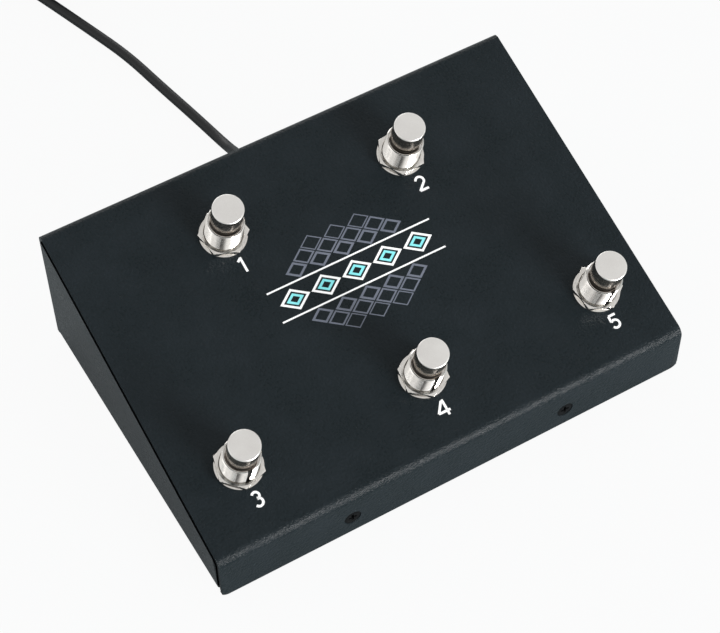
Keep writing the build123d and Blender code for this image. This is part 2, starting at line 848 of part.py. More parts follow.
coil, coil_path = make_coil()
into_coil = [tuple(coil_entry(coil_lead_length + run)) for run in (cable_last_run, 0)]
out_of_coil = [tuple(coil_exit(coil_lead_length + run)) for run in (0, tail_first_run)]
cable, cable_path = routed("usb_cable", cable_route + into_coil)
tail, tail_path = routed("usb_cable_tail", out_of_coil + tail_route)
plug_place = plug_frame(tail_path).location
parts["usb_cable"] = cable
parts["usb_cable_coil"] = coil
parts["usb_cable_tail"] = tail
parts["usb_plug_grip"] = plug_place * make_plug_grip()
parts["usb_plug_shell"] = plug_place * make_plug_shell()
parts["usb_plug_tongue"] = plug_place * make_plug_tongue()
print("cord length", round(cable_path.length + coil_path.length + tail_path.length, 1))

os.makedirs("parts", exist_ok=True)
for name, part in parts.items():
    part.label = name
    export_step(part, "parts/" + name + ".step")
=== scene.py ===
# %% [markdown]
# # A foot switch with five buttons
# A folded steel box stands on four rubber feet. Five push switches sit in its sloping top and a
# USB lead leaves its back wall. The CAD model gives every size. This notebook adds what a CAD
# file leaves out: threads, softened edges, plating, powder coat, print and a smooth cable.

import json
import math

import bmesh
import bpy
import numpy as np
from mathutils import Matrix, Vector


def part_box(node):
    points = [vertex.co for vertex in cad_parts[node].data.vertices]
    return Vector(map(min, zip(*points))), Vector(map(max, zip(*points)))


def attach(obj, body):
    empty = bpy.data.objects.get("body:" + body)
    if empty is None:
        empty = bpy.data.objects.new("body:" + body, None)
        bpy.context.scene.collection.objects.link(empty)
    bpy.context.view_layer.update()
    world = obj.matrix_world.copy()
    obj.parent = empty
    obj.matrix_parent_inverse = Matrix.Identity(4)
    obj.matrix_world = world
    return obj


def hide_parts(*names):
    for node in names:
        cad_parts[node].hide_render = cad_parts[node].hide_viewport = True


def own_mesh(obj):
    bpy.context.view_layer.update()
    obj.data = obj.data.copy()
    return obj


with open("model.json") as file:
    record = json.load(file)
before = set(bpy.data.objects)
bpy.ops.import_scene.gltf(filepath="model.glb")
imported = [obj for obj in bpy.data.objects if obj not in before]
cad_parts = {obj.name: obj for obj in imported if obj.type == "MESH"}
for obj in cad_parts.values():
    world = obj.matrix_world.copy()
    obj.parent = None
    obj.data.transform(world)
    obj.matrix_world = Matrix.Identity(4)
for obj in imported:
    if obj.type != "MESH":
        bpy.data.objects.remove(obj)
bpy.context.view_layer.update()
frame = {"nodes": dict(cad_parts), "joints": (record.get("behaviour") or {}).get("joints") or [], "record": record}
scene = bpy.context.scene
MM = 0.001

# %% [markdown]
# ## The camera
# The photograph looks down on the box from its front left corner. Its place was solved from the
# corners of the box and the rims of the five switches. A long lens matches the weak perspective.

# %% Camera
HEADING_DEG, HEIGHT_DEG, ROLL_DEG = -29.654, 54.017, -0.817
CAMERA_PLACE = (-0.20002, -0.34837, 0.57239)
FOCAL_LENGTH, SENSOR_WIDTH = 108.64, 36.0
lens = bpy.data.cameras.new("photo_camera")
lens.sensor_fit = "HORIZONTAL"
lens.sensor_width = SENSOR_WIDTH
lens.lens = FOCAL_LENGTH
lens.clip_start = 0.01
camera = bpy.data.objects.new("photo_camera", lens)
scene.collection.objects.link(camera)
camera.matrix_world = (
    Matrix.Translation(CAMERA_PLACE)
    @ Matrix.Rotation(math.radians(HEADING_DEG), 4, "Z")
    @ Matrix.Rotation(math.radians(90 - HEIGHT_DEG), 4, "X")
    @ Matrix.Rotation(math.radians(ROLL_DEG), 4, "Z")
)
scene.camera = camera
print("camera", [round(value, 3) for value in camera.location])

# %% [markdown]
# ## The USB lead
# The real lead is a thin, soft, round cable. It drops from its strain relief to the floor, bends
# gently to the left and is seen for about 80 mm. The rest of its 1.8 m is wound into a neat coil
# in four layers, as for storage, and ends in a plug. A NURBS curve of order 3 rounds the bends by
# itself, so it needs only a few points on its way and twenty points for each turn of the coil.

# %% The line of the lead
CABLE_RADIUS = 1.8
ROUTE = [(0, 70.2, 12.7), (0, 84, 12.7), (2.4, 96.1, 1.8), (-1, 115.1, 1.8), (-4.9, 134.1, 1.8),
         (-8.3, 152.7, 1.8), (-14.2, 171, 1.8), (-22.59, 196.07, 1.8), (-28.64, 211.95, 1.8)]
TAIL = [(-0.4, 254.1, 14.4), (13.6, 254.5, 14.4), (29.5, 249.5, 4), (41, 236.5, 4), (42.6, 221.5, 4)]
COIL_CENTRE, COIL_RADIUS = (-4.0, 226.0), 22.1
COIL_LAYERS, COIL_PITCH, COIL_START_DEG = 4, 4.2, 202.4
COIL_TURNS = 11 + (COIL_START_DEG - 90) / 360
POINTS_PER_TURN = 20


def coil_line():
    """Control points of the coil in mm. The radius goes in and out by one pitch a turn, and the
    line climbs one layer in the half turn where it reverses. A smooth curve runs a little inside
    its control points, so their radius is divided by 3/4 + cos(step)/4."""
    turn = np.linspace(0, COIL_TURNS, round(COIL_TURNS * POINTS_PER_TURN) + 1)
    layer_turns = COIL_TURNS / COIL_LAYERS
    outer = COIL_RADIUS + COIL_PITCH * layer_turns / 2
    radius = outer - COIL_PITCH * (layer_turns - abs(layer_turns - turn % (2 * layer_turns)))
    radius = radius / (0.75 + 0.25 * math.cos(2 * math.pi / POINTS_PER_TURN))
    climbs = np.arange(1, COIL_LAYERS)[:, None] * layer_turns
    layer = np.clip((turn - climbs) * 2 + 0.5, 0, 1).sum(0)
    angle = np.radians(COIL_START_DEG - 360 * turn)
    return np.stack([COIL_CENTRE[0] + radius * np.cos(angle), COIL_CENTRE[1] + radius * np.sin(angle),
                     CABLE_RADIUS + COIL_PITCH * layer], -1)


line = np.concatenate([ROUTE, coil_line(), TAIL]) * MM
print("points along the lead:", len(line))

# %% The lead as a curve
jacket = bpy.data.curves.new("usb_lead", "CURVE")
jacket.dimensions = "3D"
jacket.bevel_depth = 1.0
jacket.bevel_resolution = 4
jacket.resolution_u = 4
jacket.use_fill_caps = True
spline = jacket.splines.new("NURBS")
spline.points.add(len(line) - 1)
spline.points.foreach_set("co", np.column_stack([line, np.ones(len(line))]).ravel())
spline.points.foreach_set("radius", np.full(len(line), CABLE_RADIUS * MM))
spline.order_u = 3
spline.use_endpoint_u = True
spline.resolution_u = 4
lead = bpy.data.objects.new("usb_lead", jacket)
scene.collection.objects.link(lead)
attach(lead, "enclosure")
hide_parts("usb_cable", "usb_cable_coil", "usb_cable_tail")

# %% [markdown]
# ## Where the switches stand
# Every switch is square to the sloping panel. So each gets a frame of its own: across the panel,
# up its slope and straight out of it. The joints of the buttons give the way out, and the caps
# of the CAD model show whether the places are right.

# %% Frames on the panel
OUT = -np.array(frame["joints"][0]["axis"])
ACROSS = np.array([1.0, 0, 0])
PANEL = np.array([ACROSS, np.cross(OUT, ACROSS), OUT])
PANEL_CENTRE = np.array([0, 0, 36.95])
CAP_MIDDLE = 16.4
# Each switch: across, up the slope, and how its nut and its keyway were turned
SWITCHES = {
    "rear_left": (-31.75, 33.043, 41.0, 90.0),
    "rear_right": (31.75, 33.043, 4.0, 90.0),
    "front_left": (-62.5, -34.543, 16.5, -92.0),
    "front_center": (1.0, -34.543, 24.5, -92.0),
    "front_right": (64.5, -34.543, 38.0, -92.0),
}


def on_panel(points, across=0.0, up=0.0):
    """Turns points of (across, up the slope, out) in mm into metres in the row frame: the centre
    of the panel plus each number times its direction."""
    return (PANEL_CENTRE + (np.asarray(points) + (across, up, 0)) @ PANEL) * MM


for name, (across, up, _, _) in SWITCHES.items():
    cap_centre = sum(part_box("cap_" + name), Vector()) / 2
    miss = (cap_centre - Vector(on_panel([(0, 0, CAP_MIDDLE)], across, up)[0])).length
    print(name, "is off its CAD cap by", round(miss / MM, 2), "mm")

# %% [markdown]
# ## One way to make turned parts
# Bushings, caps, washers, nuts and screws all come from a lathe or a press. Each is a grid of
# points: rows follow the outline and columns go round the axis. Joining neighbours gives the
# faces. Poles are merged and the faces are turned outwards, so each piece is a closed shell.

# %% Grids and pieces
MERGE_DISTANCE = 1e-7


def lathe(radii, heights, angles):
    """A grid of points (row, column, 3): radius times cosine, radius times sine, height.
    radii may have one value a row or one value for each row and column."""
    radii = np.asarray(radii, float)
    radii = radii if radii.ndim == 2 else radii[:, None]
    heights = np.asarray(heights, float).reshape(len(radii), 1)
    turn = np.radians(angles)[None, :]
    return np.stack(np.broadcast_arrays(radii * np.cos(turn), radii * np.sin(turn), heights), -1)


def faces_of(rows, columns, ring):
    """Corners of each face: a point, its neighbour in the row, and the same two in the next row.
    Columns wrap round, and rows do too where the outline is a ring."""
    row, column = np.meshgrid(np.arange(rows if ring else rows - 1), np.arange(columns), indexing="ij")
    row_after, column_after = (row + 1) % rows, (column + 1) % columns
    corners = [row * columns + column, row * columns + column_after,
               row_after * columns + column_after, row_after * columns + column]
    return np.stack(corners, -1).reshape(-1, 4)


def mended(mesh, crease_deg):
    """Merges points that coincide, turns the faces outwards and keeps edges sharper than a limit."""
    mend = bmesh.new()
    mend.from_mesh(mesh)
    bmesh.ops.remove_doubles(mend, verts=mend.verts, dist=MERGE_DISTANCE)
    bmesh.ops.recalc_face_normals(mend, faces=mend.faces)
    mend.to_mesh(mesh)
    mend.free()
    mesh.shade_smooth()
    mesh.set_sharp_from_angle(angle=math.radians(crease_deg))


# %% Pieces of the object
def dress(name, mesh, body, nodes=()):
    """Links a finished mesh as a piece that rides on a body and stands for CAD nodes."""
    piece = bpy.data.objects.new(name, mesh)
    scene.collection.objects.link(piece)
    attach(piece, body)
    if nodes:
        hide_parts(*nodes)
    print(name, len(mesh.polygons), "faces")
    return piece


def make_piece(name, grids, body, nodes=(), ring=True, crease_deg=35):
    """One piece from grids of points in metres, each a closed surface of its own."""
    points, faces, start = [], [], 0
    for grid in grids:
        points.append(grid.reshape(-1, 3))
        faces.append(faces_of(*grid.shape[:2], ring) + start)
        start += len(points[-1])
    mesh = bpy.data.meshes.new(name)
    mesh.from_pydata(np.concatenate(points).tolist(), [], np.concatenate(faces).tolist())
    mended(mesh, crease_deg)
    return dress(name, mesh, body, nodes)


# %% [markdown]
# ## The two folded sheets
# The box is a cover and a chassis, each cut and folded from 1.2 mm steel. The cover is a little
# narrower than the walls under it, which leaves a fine dark line along both sides. The CAD sheets
# are flush there, so a merged copy of each is dressed here. The cover's copy has its side edges
# moved in, and the chassis keeps a list of the cut edges of its walls, which get painted shade: a
# nearly black coat stands for the cover's shade on them. A Weighted Normal modifier lets large
# flat faces stay flat and only the bends look round.

# %% Sheets
HALF_WIDTH, COVER_INSET, FLOOR_BEND = 82.5, 0.45, 6.5
SIDE_BAND, WALL_BAND, EDGE_NORMAL = 0.3, 1.25, 0.3
SHEET_CREASE_DEG = 30


def vectors(items, kind):
    """Reads one vector for each vertex or face of a mesh, as the rows of an array."""
    values = np.zeros(3 * len(items))
    items.foreach_get(kind, values)
    return values.reshape(-1, 3)


def folded(name, node, inset=0.0):
    """A merged copy of a sheet. Points on its two side edges move towards X = 0 by inset. A face
    is on the cut edge of a wall where it lies in the wall and its normal is not along X."""
    mesh = frame["nodes"][node].data.copy()
    mended(mesh, SHEET_CREASE_DEG)
    points = vectors(mesh.vertices, "co")
    on_side = abs(points[:, 0]) > (HALF_WIDTH - SIDE_BAND) * MM
    points[:, 0] -= on_side * inset * MM * np.sign(points[:, 0])
    mesh.vertices.foreach_set("co", points.ravel())
    mesh.update()
    centres, normals = vectors(mesh.polygons, "center"), vectors(mesh.polygons, "normal")
    # A mask for painted shade: these cut-edge faces of the walls get the cover's shade painted on them.
    beside = (abs(centres[:, 0]) > (HALF_WIDTH - WALL_BAND) * MM) & (centres[:, 2] > FLOOR_BEND * MM)
    edge = beside & (abs(normals[:, 0]) < EDGE_NORMAL)
    print(node, "faces in the walls' edges:", int(edge.sum()))
    piece = dress(name, mesh, "enclosure", [node])
    piece.modifiers.new("flat_faces_stay_flat", "WEIGHTED_NORMAL").keep_sharp = True
    return piece, edge


cover, _ = folded("cover_folded", "top_cover", COVER_INSET)
chassis, painted_shade_edges = folded("chassis_folded", "base_chassis")

# %% [markdown]
# ## Threaded bushings
# The barrel of each switch is a turned brass tube, nickel plated, with a fine M12 thread and a
# keyway cut along it. A screw modifier could make the thread, but one formula does it here: the
# radius falls and rises with height and falls behind by one pitch a turn, which makes a helix.
# The zigzag is stretched and clipped, because a real thread has flat crests and roots.

# %% Bushings
THREAD_PITCH, THREAD_DEPTH, THREAD_STRETCH, THREAD_CLIP = 0.75, 0.4, 1.3, 0.15
BARREL_RADIUS, NECK_RADIUS, BORE_RADIUS = 6.0, 5.6, 5.3
PLATE_BOTTOM, PLATE_TOP, SHOULDER, BUSHING_TOP = -2.9, -1.9, 10.8, 11.4
KEYWAY_HALF_DEG, KEYWAY_EDGE_DEG, KEYWAY_FLOOR = 7.66, 0.4, 5.5
KEYWAY_COLUMNS, OTHER_COLUMNS = 5, 92
PLATE_HALF, PLATE_REACH = 7.7, 10.27
LEDGE_RADIUS, LEDGE_TOP, LEDGE_BOTTOM = 4.65, 10.2, 4.5
BORE_CHAMFER = 0.08
END_DROPS, END_INSETS = np.array([0.12, 0.03, 0.0]), np.array([0.0, 0.04, 0.12])


def bushing(keyway_deg):
    """Grid of a bushing. Barrel: radius less a clipped zigzag of (height / pitch - angle / turn),
    and never outside the end chamfer. Plate: half its side over the larger of sine and cosine,
    with its corners cut round. A few columns lie in the keyway, where the radius has a floor.
    Inside, a ledge stands close to the plunger's neck, deep enough to let the cap come down."""
    in_key = np.linspace(-KEYWAY_HALF_DEG, KEYWAY_HALF_DEG, KEYWAY_COLUMNS)
    thread_from = KEYWAY_HALF_DEG + KEYWAY_EDGE_DEG
    outside = np.linspace(thread_from, 360 - thread_from, OTHER_COLUMNS)
    angles = keyway_deg + np.concatenate([in_key, outside])
    turn = np.radians(angles)
    steps = np.arange(PLATE_TOP, SHOULDER, THREAD_PITCH / 8)
    zigzag = 1 - abs(2 * ((steps[:, None] / THREAD_PITCH - turn / (2 * math.pi)) % 1) - 1)
    barrel = BARREL_RADIUS - THREAD_DEPTH * np.clip(THREAD_STRETCH * zigzag - THREAD_CLIP, 0, 1)
    barrel = np.minimum(barrel, NECK_RADIUS + (SHOULDER - steps)[:, None])
    neck_heights = np.concatenate([[SHOULDER], BUSHING_TOP - END_DROPS])
    neck = np.concatenate([[NECK_RADIUS], NECK_RADIUS - END_INSETS])
    outer = np.concatenate([barrel, np.broadcast_to(neck[:, None], (len(neck), len(turn)))])
    outer[:, :KEYWAY_COLUMNS] = np.minimum(outer[:, :KEYWAY_COLUMNS], KEYWAY_FLOOR)
    square = PLATE_HALF / np.maximum(abs(np.cos(turn)), abs(np.sin(turn)))
    square = np.minimum(square, PLATE_REACH)
    bore = np.full((1, len(turn)), BORE_RADIUS)
    ledge = bore - BORE_RADIUS + LEDGE_RADIUS
    radii = np.concatenate([bore, [square, square], outer, bore + BORE_CHAMFER,
                            bore, bore, ledge, ledge, bore])
    heights = np.concatenate([[PLATE_BOTTOM, PLATE_BOTTOM, PLATE_TOP], steps, neck_heights,
                              [BUSHING_TOP, BUSHING_TOP - BORE_CHAMFER],
                              [LEDGE_TOP, LEDGE_TOP, LEDGE_BOTTOM, LEDGE_BOTTOM]])
    return lathe(radii, heights, angles)


bushings = [make_piece("bushing_turned_" + name, [on_panel(bushing(keyway), across, up)], "enclosure",
                       ["bushing_" + name])
            for name, (across, up, _, keyway) in SWITCHES.items()]

# %% [markdown]
# ## Washers and thin hexagon nuts
# Both are stamped or turned from brass bar and plated. The hexagon is a radius that depends on
# the angle, half the width over the cosine of the angle from the middle of a flat. The crown is a
# cone that cuts the corners, so the smaller of the two radii is kept. Each nut was left turned
# its own way when it was tightened, as in the photograph.

# %% Nuts and washers
NUT_BOTTOM, NUT_TOP, NUT_HALF, CROWN_DROP = 0.6, 2.6, 7.0, 0.35
NUT_BORE, NUT_SINK, CROWN_STEPS = 6.05, 0.25, 8
ROUND = np.arange(0, 360, 3.75)


def nut(vertex_deg):
    """Grid of a nut. Side radius: half width / cos(angle from a flat's middle), at most that of
    the cone that cuts the corners back towards each face. The bore has a small countersink."""
    from_flat = np.radians((ROUND % 60) - 30)
    hexagon = NUT_HALF / np.cos(from_flat)
    cut = np.linspace(0, CROWN_DROP, CROWN_STEPS)
    side = np.concatenate([NUT_BOTTOM + cut, NUT_TOP - cut[::-1]])
    corner = NUT_HALF / math.cos(math.radians(30))
    cone = NUT_HALF + np.minimum(side - NUT_BOTTOM, NUT_TOP - side) / CROWN_DROP * (corner - NUT_HALF)
    outer = np.minimum(hexagon[None, :], cone[:, None])
    bore = (NUT_BORE + NUT_SINK * np.array([1, 0, 0, 1]))[:, None] + 0 * hexagon
    radii = np.concatenate([outer, bore])
    heights = np.concatenate([side, [NUT_TOP, NUT_TOP - NUT_SINK, NUT_BOTTOM + NUT_SINK, NUT_BOTTOM]])
    return lathe(radii, heights, ROUND + vertex_deg)


def washer():
    """Grid of a flat ring 0.6 mm thick, its outer edges rounded by the stamping."""
    radii = [6.15, 7.45, 7.56, 7.6, 7.6, 7.56, 7.45, 6.2, 6.15]
    heights = [0, 0, 0.04, 0.12, 0.44, 0.54, 0.6, 0.6, 0.55]
    return lathe(radii, heights, ROUND)


nuts = make_piece("nuts_plated", [on_panel(nut(turned), across, up)
                                  for across, up, turned, _ in SWITCHES.values()],
                  "enclosure", ["panel_nuts"], crease_deg=12)
washers = make_piece("washers_plated", [on_panel(washer(), across, up)
                                        for across, up, _, _ in SWITCHES.values()],
                     "enclosure", ["panel_washers"])

# %% [markdown]
# ## Button caps
# A cap is turned from bar, hollow below, with a flat top and a narrow bevel. A real edge is
# never sharp: it catches the light as a thin bright line. So the bevel is a quarter circle in
# small steps. Caps ride on the buttons and follow their travel.

# %% Caps
CAP_RADIUS, CAP_BOTTOM, CAP_TOP, CAP_BEVEL = 5.0, 12.9, 19.9, 0.45
CAP_BORE, CAP_CEILING, SIDE_RING, TOP_RING = 4.0, 18.4, 16.0, 2.2
FOOT_INSETS, FOOT_RISES = np.array([0.28, 0.1, 0.0]), np.array([0.0, 0.08, 0.3])


def cap():
    """Grid of a cap: bore, foot edge, side, a quarter circle for the bevel, and the flat top.
    Both ends of the outline lie on the axis."""
    bend = np.radians(np.linspace(0, 90, 7))
    radii = np.concatenate([[0, CAP_BORE, CAP_BORE], CAP_RADIUS - FOOT_INSETS, [CAP_RADIUS],
                            CAP_RADIUS - CAP_BEVEL * (1 - np.cos(bend)), [TOP_RING, 0]])
    heights = np.concatenate([[CAP_CEILING, CAP_CEILING, CAP_BOTTOM], CAP_BOTTOM + FOOT_RISES, [SIDE_RING],
                              CAP_TOP - CAP_BEVEL * (1 - np.sin(bend)), [CAP_TOP, CAP_TOP]])
    return lathe(radii, heights, ROUND)


caps = [make_piece("cap_turned_" + name, [on_panel(cap(), across, up)], "button_" + name,
                   ["cap_" + name], ring=False, crease_deg=40)
        for name, (across, up, _, _) in SWITCHES.items()]

# %% [markdown]
# ## Return springs
# Inside each switch a steel spring pushes the button up. It is coiled from round wire, a circle
# carried along a helix. A CAD node can't change its shape, so each spring is a new piece here,
# with a mesh of its own.

# %% Springs
SPRING_RADIUS, WIRE_RADIUS, SPRING_TURNS = 3.25, 0.3, 4
WIRE_POINTS, WIRE_STEP_DEG = 97, 36


def spring(low, high):
    """Grid of a spring. Rows follow the wire: the angle goes round four times and the height
    rises evenly. Columns go round the wire: its radius times cosine outwards and sine upwards."""
    wire = np.concatenate([[0], np.full(WIRE_POINTS, WIRE_RADIUS), [0]])[:, None]
    turn = np.concatenate([[0], np.linspace(0, SPRING_TURNS, WIRE_POINTS), [SPRING_TURNS]])[:, None]
    around = np.radians(np.arange(0, 360, WIRE_STEP_DEG))[None, :]
    radius = SPRING_RADIUS + wire * np.cos(around)
    climb = (high - low - 2 * WIRE_RADIUS) * turn / SPRING_TURNS
    height = low + WIRE_RADIUS + climb + wire * np.sin(around)
    angle = 2 * math.pi * turn
    return np.stack([radius * np.cos(angle), radius * np.sin(angle), height], -1)


springs = []
for name, (across, up, _, _) in SWITCHES.items():
    node = "return_spring_" + name
    heights = (vectors(frame["nodes"][node].data.vertices, "co") / MM - PANEL_CENTRE) @ OUT
    low, high = heights.min(), heights.max()
    piece = make_piece("return_spring_wound_" + name, [on_panel(spring(low, high), across, up)],
                       "enclosure", [node], ring=False)
    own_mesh(piece)
    springs.append(piece)

# %% [markdown]
# ## Cover screws
# Four black countersunk screws hold the cover, two in the front lip and two in the back wall.
# Their cross recess is a depth that depends on the place on the head: deep near the middle of an
# arm, fading to nothing at its side and its end. That keeps the whole screw one closed grid.

# %% Screws
HEAD_RADIUS, FACE_RADIUS, SHANK_RADIUS, SCREW_LENGTH = 2.7, 2.55, 1.5, 8.0
HEAD_EDGE, CONE_DEPTH, TIP_TAPER = 0.08, 1.2, 0.75
ARM_HALF, ARM_REACH, RECESS_DEPTH = 0.4, 1.45, 0.9
ARM_SLOPE, END_SLOPE, FIRST_RING, FACE_RINGS = 0.12, 0.45, 0.1, 22


def screw():
    """Grid of a screw, its head at height 0. Recess depth: clip((half width - distance to the
    nearer arm's axis) / slope) * clip((reach - radius) / slope) * full depth."""
    angles = np.arange(0, 360, 3)
    turn = np.radians(angles)
    rings = np.linspace(FIRST_RING, ARM_REACH + FIRST_RING, FACE_RINGS)
    face = np.concatenate([[0], rings, [FACE_RADIUS]])
    across, up = face[:, None] * np.cos(turn), face[:, None] * np.sin(turn)
    arm = np.clip((ARM_HALF - np.minimum(abs(across), abs(up))) / ARM_SLOPE, 0, 1)
    end = np.clip((ARM_REACH - face) / END_SLOPE, 0, 1)[:, None]
    head = -RECESS_DEPTH * arm * end
    cone = [HEAD_RADIUS, SHANK_RADIUS, SHANK_RADIUS, SHANK_RADIUS / 2, 0]
    cone_heights = [-HEAD_EDGE, -CONE_DEPTH, TIP_TAPER - SCREW_LENGTH, -SCREW_LENGTH, -SCREW_LENGTH]
    grid = lathe(np.concatenate([face, cone]), np.concatenate([face * 0, cone_heights]), angles)
    grid[:len(face), :, 2] = head
    return grid


def screw_pair(name, node, outwards):
    """Two screws at the ends of a CAD node's box, facing along +Y or -Y."""
    low, high = (np.array(corner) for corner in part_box(node))
    basis = np.array([(-outwards, 0, 0), (0, 0, 1), (0, outwards, 0)], float)
    face = high[1] if outwards > 0 else low[1]
    middle = (low[2] + high[2]) / 2
    ends = (low[0] + HEAD_RADIUS * MM, high[0] - HEAD_RADIUS * MM)
    grids = [screw() @ basis * MM + (x, face, middle) for x in ends]
    return make_piece(name, grids, "enclosure", [node], ring=False)


screws = [screw_pair("screws_front", "front_cover_screws", -1),
          screw_pair("screws_rear", "rear_cover_screws", 1)]

# %% [markdown]
# ## Strain relief
# The cable leaves the back wall through a moulded sleeve. Its boot is slit from alternate sides,
# so that it bends evenly. Slits could be cut with booleans, but here they are again a radius that
# steps in where a slit is, except in the two ribs that join the rings.

# %% Strain relief
BOOT_LOW, BOOT_HIGH, BOOT_RADIUS, BOOT_NARROWING, BOOT_END = 2.0, 14.0, 3.8, 1.3, 2.3
SLIT_FROM, SLIT_TO, SLIT_PITCH, SLIT_SHARE, SLIT_DEPTH = 3.4, 12.6, 1.5, 0.42, 0.6
RIB_EDGE, RIB_SLOPE = 0.4, 0.15
# Radius and height of the part in the wall and of its collar, from the inside outwards
COLLAR = np.array([(0, -2.8), (4.8, -2.8), (4.8, -1.2), (3.9, -1.2), (3.9, 0), (5.05, 0), (5.2, 0.15),
                   (5.2, 1.8), (5.0, 2.0)])


def relief():
    """Grid of the relief, height 0 on the wall. Boot radius: a straight taper, less the slit's
    depth where (height / pitch) has a small rest and |sine| is clear of the ribs."""
    angles = np.arange(0, 360, 5)
    turn = np.radians(angles)
    height = np.linspace(BOOT_LOW, BOOT_HIGH, 121)
    place = (height - SLIT_FROM) / SLIT_PITCH
    cut = (place % 1 < SLIT_SHARE) & (place > 0) & (height < SLIT_TO)
    side = abs(np.sin(turn + np.floor(place)[:, None] * math.pi / 2))
    ribs = np.clip((side - RIB_EDGE) / RIB_SLOPE, 0, 1)
    taper = BOOT_RADIUS - BOOT_NARROWING * (height - BOOT_LOW) / (BOOT_HIGH - BOOT_LOW)
    sleeve = taper[:, None] - SLIT_DEPTH * cut[:, None] * ribs
    collar = COLLAR[:, :1] + 0 * turn
    radii = np.concatenate([collar, sleeve, [0 * turn + BOOT_END, 0 * turn]])
    heights = np.concatenate([COLLAR[:, 1], height, [BOOT_HIGH, BOOT_HIGH]])
    return lathe(radii, heights, angles)


low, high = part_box("strain_relief")
relief_place = (0, high[1] - BOOT_HIGH * MM, (low[2] + high[2]) / 2)
relief_basis = np.array([(-1, 0, 0), (0, 0, 1), (0, 1, 0)], float)
boot = make_piece("relief_moulded", [relief() @ relief_basis * MM + relief_place], "enclosure",
                  ["strain_relief"], ring=False, crease_deg=25)

# %% [markdown]
# ## Print on the panel
# The panel is screen printed, with a number below each switch and a lattice of diamonds between
# two lines in the middle. A font or a picture could make them. Strokes are chosen here, because
# they need no file and stay crisp at any distance. Ink is a thin film. Here it stands 0.02 mm
# proud and reaches 0.01 mm into the panel, so it never flickers or floats.

# %% Strokes for numbers
INK_TOP, INK_BOTTOM = 0.02, -0.01
STROKE_WIDTH, FIGURE_HEIGHT, ARC_POINTS = 0.78, 5.2, 13


def arc(centre, radius, start_deg, end_deg):
    """Points on part of a circle: centre plus radius times cosine and sine."""
    turn = np.radians(np.linspace(start_deg, end_deg, ARC_POINTS))
    return np.stack([centre[0] + radius * np.cos(turn), centre[1] + radius * np.sin(turn)], -1)


# Each figure is a list of strokes in a frame one unit high, its middle at the origin
FIGURES = {
    "1": [[(-0.2, 0.27), (0.04, 0.46)], [(0.04, 0.5), (0.04, -0.5)]],
    "2": [np.concatenate([arc((0, 0.2), 0.26, 165, -35), [(-0.3, -0.42)]]),
          [(-0.3, -0.42), (0.3, -0.42)]],
    "3": [arc((-0.02, 0.21), 0.22, 150, -90), arc((-0.02, -0.2), 0.25, 90, -150)],
    "4": [[(0.4, -0.22), (-0.38, -0.22)], [(-0.38, -0.22), (0.12, 0.44)], [(0.2, 0.5), (0.2, -0.5)]],
    "5": [[(0.26, 0.42), (-0.2, 0.42)], [(-0.2, 0.42), (-0.22, 0.02)],
          arc((-0.02, -0.16), 0.26, 140, -150)],
}
FIGURE_PLACES = {"1": (-30.8, 21.7), "2": (32.9, 21.4), "3": (-62.3, -46.0), "4": (1.3, -46.5),
                 "5": (64.3, -46.1)}


def stroke(points, width):
    """A thin closed ribbon along a line. Its side points are the line plus and minus half the
    width times the line's normal. Rows follow the line, columns are the four corners of the
    section, and a middle point closes each end."""
    points = np.asarray(points, float)
    along = np.gradient(points, axis=0)
    along /= np.linalg.norm(along, axis=1)[:, None]
    aside = np.stack([-along[:, 1], along[:, 0]], -1) * width / 2
    foot, top = np.full((len(points), 1), INK_BOTTOM), np.full((len(points), 1), INK_TOP)
    left, right = points + aside, points - aside
    section = np.stack([np.hstack([left, foot]), np.hstack([left, top]),
                        np.hstack([right, top]), np.hstack([right, foot])], 1)
    ends = section[[0, -1]].mean(1, keepdims=True).repeat(4, 1)
    return np.concatenate([ends[:1], section, ends[1:]])


# %% Numbers below the switches
figures = [on_panel(stroke(np.asarray(mark) * FIGURE_HEIGHT, STROKE_WIDTH), *FIGURE_PLACES[figure])
           for figure, marks in FIGURES.items() for mark in marks]
printed_numbers = make_piece("printed_numbers", figures, "enclosure", ring=False)

# %% Lattice in the middle of the panel
CELL_WIDTH, CELL_HEIGHT = 8.4, 6.0
LATTICE_CENTRE = (0.0, 4.6)
# Sizes as shares of a cell, outer and inner
WHITE_SIZES, CYAN_SIZES = (1.25, 0.95), (0.72, 0.4)
SLATE_OUTER, SLATE_INNER, SLATE_STEP = 0.92, 0.5, 0.07
ROW_SHIFT, MIDDLE_PITCH = 2.4, 1.3
RULE_WIDTH, RULE_LENGTH, RULE_PLACE = 0.55, 58.0, 5.2


def outline_plate(outer, inner, centre):
    """A thin closed frame between two diamonds: rows are outer foot, outer top, inner top and
    inner foot, and columns are the four corners."""
    corners = np.array([(1, 0), (0, 1), (-1, 0), (0, -1)], float)
    rows = [(outer, INK_BOTTOM), (outer, INK_TOP), (inner, INK_TOP), (inner, INK_BOTTOM)]
    grid = np.array([[(*(corner * size / 2 + centre), height) for corner in corners]
                     for size, height in rows])
    return on_panel(grid, *LATTICE_CENTRE)


def rule(up):
    """A straight printed line across the panel at a distance from the lattice's centre."""
    return on_panel(stroke([(-RULE_LENGTH / 2, up), (RULE_LENGTH / 2, up)], RULE_WIDTH), *LATTICE_CENTRE)


def middle_row(sizes):
    """Five diamonds of one size in the row between the two lines."""
    return [outline_plate(cell * sizes[0], cell * sizes[1], (column * CELL_WIDTH * MIDDLE_PITCH, 0))
            for column in range(-2, 3)]


